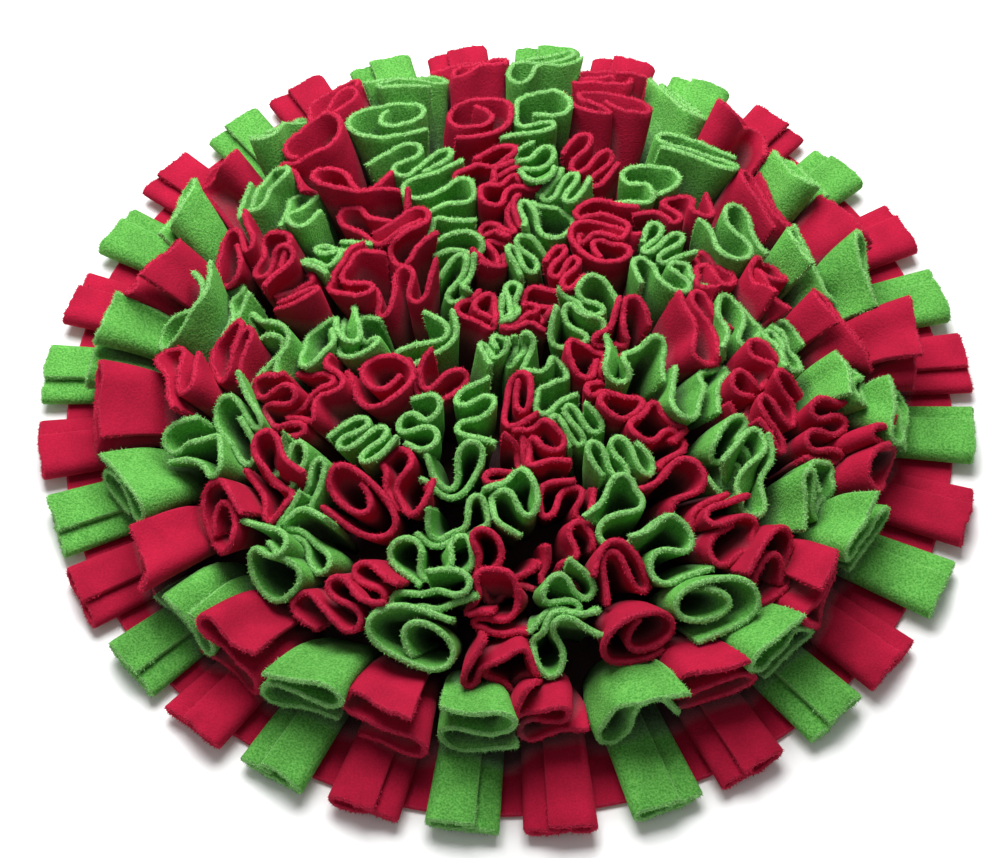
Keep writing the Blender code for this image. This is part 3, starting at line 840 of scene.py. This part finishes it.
def brushed_fleece(colour):
    """Anti-pill polyester fleece, knitted, brushed and sheared, made once for each colour.

    Brushing gives a matt nap with a soft sheen: light and deep specks, strongest on
    the green cloth.  Cut edges get a painted highlight in a paler colour, brightest
    along their crest, and where much cloth lies above, the fleece gets painted shade,
    darker and greyer.
    """
    name = f"{colour}_brushed_fleece"
    if name in bpy.data.materials:
        return bpy.data.materials[name]
    material, tree = new_material(name)
    # cut is the paler colour that the painted highlight on cut edges mixes in
    light, deep, cut = [linear(getattr(bpy.context.scene.mat_fleece, colour + part))
                        for part in ("", "_deep", "_edge")]
    contrast, relief = FLEECE_GRAIN[colour]
    grain = ("tufts", 0.36, 0.64, 0.5 - contrast / 2, 0.5 + contrast / 2)

    place = add_node(tree, "ShaderNodeTexCoord").outputs["Object"]
    found = {}
    for label in ("tone", "cover", "edge"):
        found[label] = add_node(tree, "ShaderNodeAttribute", attribute_name=label).outputs["Fac"]
    for label, (size, detail, rough) in FLEECE_NOISES.items():
        noise = add_node(tree, "ShaderNodeTexNoise", {
            "Vector": place, "Scale": 1 / (size * MM), "Detail": detail, "Roughness": rough})
        found[label] = noise.outputs["Fac"]
    for label, (read, *ends) in {"grain": grain, **FLEECE_RANGES}.items():
        ends = dict(zip(("From Min", "From Max", "To Min", "To Max"), ends))
        # the painted shade eases in and out
        kind = "SMOOTHSTEP" if label == "painted_shade" else "LINEAR"
        found[label] = add_node(tree, "ShaderNodeMapRange", {"Value": found[read], **ends},
                                interpolation_type=kind).outputs["Result"]
    for label, (first, second) in FLEECE_PRODUCTS.items():
        found[label] = add_node(tree, "ShaderNodeMath", {0: found[first], 1: found[second]},
                                operation="MULTIPLY").outputs["Value"]
    nap = add_node(tree, "ShaderNodeMix", {
        "Factor": found["grain"], "A": deep, "B": light}, data_type="RGBA")
    # Painted shade: darker and greyer where much cloth lies above.
    shaded = add_node(tree, "ShaderNodeHueSaturation", {
        "Saturation": found["painted_shade_grey"], "Value": found["shade"], "Color": nap.outputs["Result"]})
    # Painted highlight: cut edges mixed toward their paler colour.
    painted = add_node(tree, "ShaderNodeMix", {
        "Factor": found["fuzz"], "A": shaded.outputs["Color"], "B": cut}, data_type="RGBA")
    bump = add_node(tree, "ShaderNodeBump", {
        "Height": found["tufts"], "Strength": relief, "Distance": 0.7 * MM})
    shader = add_node(tree, "ShaderNodeBsdfPrincipled", {
        "Base Color": painted.outputs["Result"], "Normal": bump.outputs["Normal"],
        "Roughness": 0.95, "Specular IOR Level": 0.15, "Sheen Weight": 0.5,
        "Sheen Roughness": 0.5, "Sheen Tint": light})
    add_node(tree, "ShaderNodeOutputMaterial", {"Surface": shader.outputs["BSDF"]})
    return material


def painted_floor(code):
    """Matt studio board: pale and even, so that it shows soft shadows and no gloss."""
    material, tree = new_material("matt_studio_board")
    place = add_node(tree, "ShaderNodeTexCoord").outputs["Object"]
    cloud = add_node(tree, "ShaderNodeTexNoise", {"Vector": place, "Scale": 1.5})
    shade = add_node(tree, "ShaderNodeMapRange", {
        "Value": cloud.outputs["Fac"], "To Min": 0.985, "To Max": 1.0})
    paint = add_node(tree, "ShaderNodeHueSaturation", {
        "Value": shade.outputs["Result"], "Color": linear(code)})
    shader = add_node(tree, "ShaderNodeBsdfPrincipled", {
        "Base Color": paint.outputs["Color"], "Roughness": 0.9})
    add_node(tree, "ShaderNodeOutputMaterial", {"Surface": shader.outputs["BSDF"]})
    return material


# --- putting a piece in place of its imported part ---
def declare_cloth(piece, node):
    """Hang a finished piece of fleece under the root body and hide the imported part that it
    stands for.
    """
    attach(piece, "root")
    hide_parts(node)


# --- operators ---
class MAT_OT_base(bpy.types.Operator):
    """Make the round base cloth"""
    bl_idname = "snuffle_mat.base"
    bl_label = "Base Cloth"

    def execute(self, context):
        """A disc with a rounded cut rim and slight waves in its rim and upper side."""
        chance = random.Random(SEED)
        phases = [chance.uniform(0, 2 * math.pi) for _ in range(WAVES)]
        angles = np.linspace(0, 2 * math.pi, BASE_SPOKES, endpoint=False)
        waver = sum(np.sin((3 + 4 * k) * angles + phase) for k, phase in enumerate(phases))
        rim = BASE_DIAMETER / 2 + BASE_WAVER * waver / WAVES - BASE_TRIM
        half = BASE_THICKNESS / 2
        bend = [math.radians(turn) for turn in (30, 60, 90, 120, 150)]
        profile = [(share, 0.0, half) for share in np.linspace(BASE_INNER, 1, BASE_CIRCLES)]
        profile += [(1.0, half * math.sin(turn), half * math.cos(turn)) for turn in bend]
        profile += [(share, 0.0, -half) for share in np.linspace(1, BASE_INNER, BASE_CIRCLES)]
        points = []
        for share, out, up in profile:
            radius = (rim - half) * share + out
            lift = BASE_LIFT * np.sin(9 * angles + 5 * share) * share * (up > 0)
            points.append(np.stack((radius * np.cos(angles), radius * np.sin(angles),
                                    half + up + lift), axis=1))
        points = np.concatenate(points)
        # The rounded rim gets the cut-edge mark, so the fleece paints a highlight on it.
        marks = [float(out > 0) for _, out, _ in profile for _ in angles]
        index = np.arange(len(points)).reshape(-1, BASE_SPOKES)
        beside = np.roll(index, -1, axis=1)
        faces = np.stack((index[:-1], index[1:], beside[1:], beside[:-1]), axis=-1)
        faces = faces.reshape(-1, 4).tolist() + [index[0].tolist(), index[-1][::-1].tolist()]
        all_petals(context)
        piece = cloth_piece("base_fleece", "red", points, faces, marks, np.ones(len(points)))
        declare_cloth(piece, "base_cloth")
        return {"FINISHED"}


def all_petals(context):
    """Every petal of the mat, settled against its neighbours: the rows', then the rim's."""
    thickness = context.scene.mat_fleece.thickness / MM
    settings = context.scene.mat_petals
    if not GROWN:
        rim = [rim_petal(index, thickness) for index in range(EDGE_COUNT)]
        rows = [[standing_petal(number, row, index, cell, thickness, settings)
                 for index, cell in enumerate(row_cells(row))]
                for number, row in enumerate(ROWS)]
        settle([petal for row in rows for petal in row], rim, thickness)
        GROWN["rows"], GROWN["rim"] = rows, rim
        GROWN["cover"] = weigh_cloth([petal for row in rows for petal in row])
    return GROWN


class MAT_OT_rim_petals(bpy.types.Operator):
    """Make the flat petals round the rim, a piece for each"""
    bl_idname = "snuffle_mat.rim_petals"
    bl_label = "Rim Petals"

    def execute(self, context):
        thickness = context.scene.mat_fleece.thickness / MM
        chance = random.Random(SEED + 1)
        for index, petal in enumerate(all_petals(context)["rim"]):
            colour = COLOURS[petal.colour]
            label = f"{index + 1:02d}_{colour}"
            sheet = cloth_sheet(petal.grid, thickness)
            tone = chance.uniform(*RIM_TONES)
            note_nap_ground(colour, sheet, tone)
            piece = join_sheets(f"rim_petal_{label}", colour, [(sheet, tone)])
            declare_cloth(piece, f"edge_petal_{label}")
        return {"FINISHED"}


class MAT_OT_petal_rows(bpy.types.Operator):
    """Make the rings of standing petals, a piece for each colour, and the middle petals"""
    bl_idname = "snuffle_mat.petal_rows"
    bl_label = "Rings of Petals"

    def execute(self, context):
        thickness = context.scene.mat_fleece.thickness / MM
        for number, (row, petals) in enumerate(zip(ROWS, all_petals(context)["rows"])):
            chance = random.Random(SEED + 50 + number)
            made = [(petal, cloth_sheet(petal.grid[:, SHOWN_STEPS], thickness),
                     chance.uniform(*ROW_TONES)) for petal in petals]
            if row is ROWS[-1]:
                for index, petal in enumerate(made):
                    label = f"{index + 1}_{COLOURS[petal[0].colour]}"
                    self.finish(f"middle_petal_{label}", f"centre_petal_{label}", [petal])
                continue
            for letter, colour in COLOURS.items():
                node = f"{row.name}_{colour}"
                self.finish(f"{node}_petals", node, [k for k in made if k[0].colour == letter])
        return {"FINISHED"}

    def finish(self, name, node, made):
        """Join the petals of one node, with their sheets and tones, into its piece."""
        colour = COLOURS[made[0][0].colour]
        for _, sheet, tone in made:
            note_nap_ground(colour, sheet, tone)
        piece = join_sheets(name, colour, [(sheet, tone) for _, sheet, tone in made])
        declare_cloth(piece, node)


def nap_tree():
    """Tufts strewn over a surface: three-sided spikes that lean at random."""
    tree = bpy.data.node_groups.new("nap_tufts", "GeometryNodeTree")
    for label, kind in (("Geometry", "Geometry"), ("Density", "Float"), ("Tuft Length", "Float"),
                        ("Tuft Width", "Float"), ("Tuft Lean", "Float"), ("Seed", "Int"),
                        ("Material", "Material")):
        tree.interface.new_socket(label, in_out="INPUT", socket_type=f"NodeSocket{kind}")
    tree.interface.new_socket("Geometry", in_out="OUTPUT", socket_type="NodeSocketGeometry")
    given = add_node(tree, "NodeGroupInput").outputs
    spots = add_node(tree, "GeometryNodeDistributePointsOnFaces", {
        "Mesh": given["Geometry"], "Density": given["Density"], "Seed": given["Seed"]})
    root = add_node(tree, "ShaderNodeMath", {0: given["Tuft Width"], 1: 0.5}, operation="MULTIPLY")
    tuft = add_node(tree, "GeometryNodeMeshCone", {
        "Vertices": 3, "Side Segments": 1, "Fill Segments": 1, "Radius Top": 0.0,
        "Radius Bottom": root.outputs["Value"], "Depth": given["Tuft Length"]}, fill_type="NGON")
    chance = add_node(tree, "FunctionNodeRandomValue", {
        0: (-1.0,) * 3, 1: (1.0,) * 3, "Seed": given["Seed"]}, data_type="FLOAT_VECTOR")
    most = add_node(tree, "ShaderNodeCombineXYZ", {
        "X": given["Tuft Lean"], "Y": given["Tuft Lean"], "Z": math.pi})
    leaning = add_node(tree, "ShaderNodeVectorMath", {
        0: chance.outputs[0], 1: most.outputs["Vector"]}, operation="MULTIPLY")
    stand = add_node(tree, "FunctionNodeRotateRotation", {
        "Rotation": spots.outputs["Rotation"], "Rotate By": leaning.outputs["Vector"]},
        rotation_space="LOCAL")
    size = add_node(tree, "FunctionNodeRandomValue", {
        2: LEAST_TUFT, 3: MOST_TUFT, "Seed": given["Seed"]}, data_type="FLOAT")
    tufts = add_node(tree, "GeometryNodeInstanceOnPoints", {
        "Points": spots.outputs["Points"], "Instance": tuft.outputs["Mesh"],
        "Rotation": stand.outputs["Rotation"], "Scale": size.outputs[1]})
    real = add_node(tree, "GeometryNodeRealizeInstances", {"Geometry": tufts.outputs["Instances"]})
    done = add_node(tree, "GeometryNodeSetMaterial", {
        "Geometry": real.outputs["Geometry"], "Material": given["Material"]})
    add_node(tree, "NodeGroupOutput", {"Geometry": done.outputs["Geometry"]})
    return tree


def grow(name, ground, tree, values):
    """A plain mesh object of what a node tree makes on a ground mesh."""
    carrier = add_object(f"{name}_ground", ground)
    modifier = carrier.modifiers.new("nodes", "NODES")
    modifier.node_group = tree
    sockets = {item.name: item.identifier for item in tree.interface.items_tree
               if item.in_out == "INPUT"}
    for label, value in values.items():
        modifier[sockets[label]] = value
    evaluated = carrier.evaluated_get(bpy.context.evaluated_depsgraph_get())
    data = bpy.data.meshes.new_from_object(evaluated)
    data.name = name
    bpy.data.objects.remove(carrier)
    return add_object(name, data)


class MAT_OT_nap(bpy.types.Operator):
    """Grow fuzz all over the cut edges, a piece for each colour"""
    bl_idname = "snuffle_mat.nap"
    bl_label = "Fuzz on the Cut Edges"

    def execute(self, context):
        settings = context.scene.mat_nap
        tree = nap_tree()
        for number, (colour, grounds) in enumerate(NAP_GROUND.items()):
            sizes = np.cumsum([0] + [len(points) for points, _, _ in grounds])
            points = np.vstack([ground[0] for ground in grounds])
            faces = np.vstack([ground[1] + start for ground, start in zip(grounds, sizes)])
            # Painted highlight: tufts are painted lighter than their cloth and marked fully as cut
            # edge.
            tones = TUFT_PAINTED_HIGHLIGHT * np.concatenate([ground[2] for ground in grounds])
            data = marked_mesh(f"{colour}_cut_edges", points, faces.tolist(),
                               np.ones(len(points)), tones)
            area = sum(face.area for face in data.polygons)
            piece = grow(f"{colour}_nap", data, tree, {
                "Density": settings.tufts / area, "Tuft Length": settings.tuft_length,
                "Tuft Width": settings.tuft_width, "Tuft Lean": math.radians(TUFT_LEAN),
                "Seed": SEED + number, "Material": brushed_fleece(colour)})
            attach(piece, "root")
        return {"FINISHED"}


class MAT_OT_stage(bpy.types.Operator):
    """Add a pale floor, soft lights and a camera at the photograph's angle"""
    bl_idname = "snuffle_mat.stage"
    bl_label = "Stage"

    def execute(self, context):
        settings = context.scene.mat_stage
        data = bpy.data.meshes.new("floor")
        data.from_pydata([(x * FLOOR_HALF, y * FLOOR_HALF, FLOOR_HEIGHT)
                          for x, y in ((-1, -1), (1, -1), (1, 1), (-1, 1))], [], [(0, 1, 2, 3)])
        data.materials.append(painted_floor(settings.floor))
        add_object("floor", data)
        for name, power in (("key", settings.key_power), ("fill", settings.fill_power)):
            place, size = LIGHTS[name]
            lamp = bpy.data.lights.new(f"{name}_light", "AREA")
            lamp.shape = "SQUARE"
            lamp.size = size
            lamp.energy = power
            light = add_object(f"{name}_light", lamp)
            x, y, z = light.location = place
            light.rotation_euler = (math.atan2(math.hypot(x, y), z), 0, math.atan2(x, -y))
        world = bpy.data.worlds.new("studio")
        world.use_nodes = True
        context.scene.world = world
        background = world.node_tree.nodes["Background"]
        background.inputs["Color"].default_value = (1, 1, 1, 1)
        background.inputs["Strength"].default_value = settings.sky
        lens = bpy.data.cameras.new("camera")
        lens.lens = settings.lens
        lens.sensor_width = SENSOR_WIDTH
        lens.clip_end = FAR_CLIP
        camera = add_object("camera", lens)
        x, y = CAMERA_AIM
        camera.location = (x, y - CAMERA_DISTANCE * math.cos(CAMERA_ELEVATION),
                           CAMERA_DISTANCE * math.sin(CAMERA_ELEVATION))
        camera.rotation_euler = (math.pi / 2 - CAMERA_ELEVATION, 0, 0)
        context.scene.camera = camera
        context.scene.view_settings.view_transform = "Standard"
        return {"FINISHED"}


class MAT_PT_panel(bpy.types.Panel):
    """Settings and steps of the snuffle mat"""
    bl_idname = "MAT_PT_panel"
    bl_label = "Snuffle Mat"
    bl_space_type = "VIEW_3D"
    bl_region_type = "UI"
    bl_category = "Snuffle Mat"

    def draw(self, context):
        for group in GROUPS:
            box = self.layout.box()
            settings = getattr(context.scene, group)
            for name in settings.bl_rna.properties.keys():
                if name not in ("rna_type", "name"):
                    box.prop(settings, name)
        for step in STEPS:
            self.layout.operator(step.bl_idname)


GROUPS = {"mat_fleece": FleeceSettings, "mat_petals": PetalSettings, "mat_nap": NapSettings,
          "mat_stage": StageSettings}
STEPS = (MAT_OT_base, MAT_OT_rim_petals, MAT_OT_petal_rows, MAT_OT_nap, MAT_OT_stage)


def register():
    """Add the settings, operators and panel."""
    for group, kind in GROUPS.items():
        bpy.utils.register_class(kind)
        setattr(bpy.types.Scene, group, bpy.props.PointerProperty(type=kind))
    for kind in (*STEPS, MAT_PT_panel):
        bpy.utils.register_class(kind)


def unregister():
    """Take them away again."""
    for kind in (MAT_PT_panel, *reversed(STEPS)):
        bpy.utils.unregister_class(kind)
    for group, kind in GROUPS.items():
        delattr(bpy.types.Scene, group)
        bpy.utils.unregister_class(kind)


def main():
    """Run each step in order."""
    register()
    for step in STEPS:
        group, name = step.bl_idname.split(".")
        getattr(getattr(bpy.ops, group), name)()


if __name__ == "__main__":
    main()
